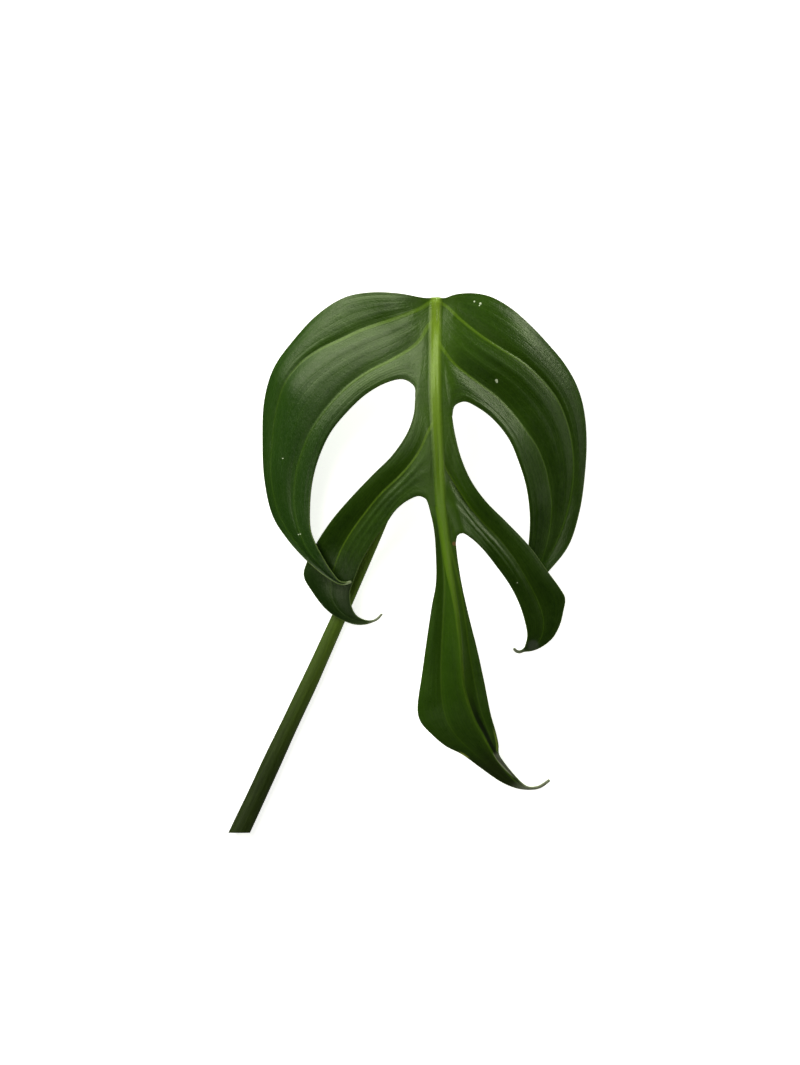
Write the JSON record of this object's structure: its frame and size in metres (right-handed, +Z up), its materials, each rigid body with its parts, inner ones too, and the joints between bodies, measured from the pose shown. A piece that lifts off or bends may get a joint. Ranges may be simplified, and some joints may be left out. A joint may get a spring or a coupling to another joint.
{
  "type": "monstera cutting",
  "caption": "Cut monstera leaf on its stalk: a split blade with long drip-tipped lobes and open slots, lying arched on a surface",
  "frame": {"origin": "on the surface, under the middle of the cutting's bounding box", "axes": "+Y from the end lobe's tip towards the notch where blade and stalk join, +X across the leaf to the right seen from above, +Z up from the surface"},
  "size_m": [0.1254, 0.1886, 0.0298],
  "materials": {
    "leaf_green": "smooth leathery leaf, deep green with a soft grey sheen, yellow-green midrib and veins, paler underside",
    "stalk_green": "smooth round leaf stalk, mid green, darker towards the cut end, with a pale cut face"
  },
  "bodies": {
    "root": {"leaf_blade": "leaf_green", "leaf_stalk": "stalk_green"}
  },
  "joints": []
}
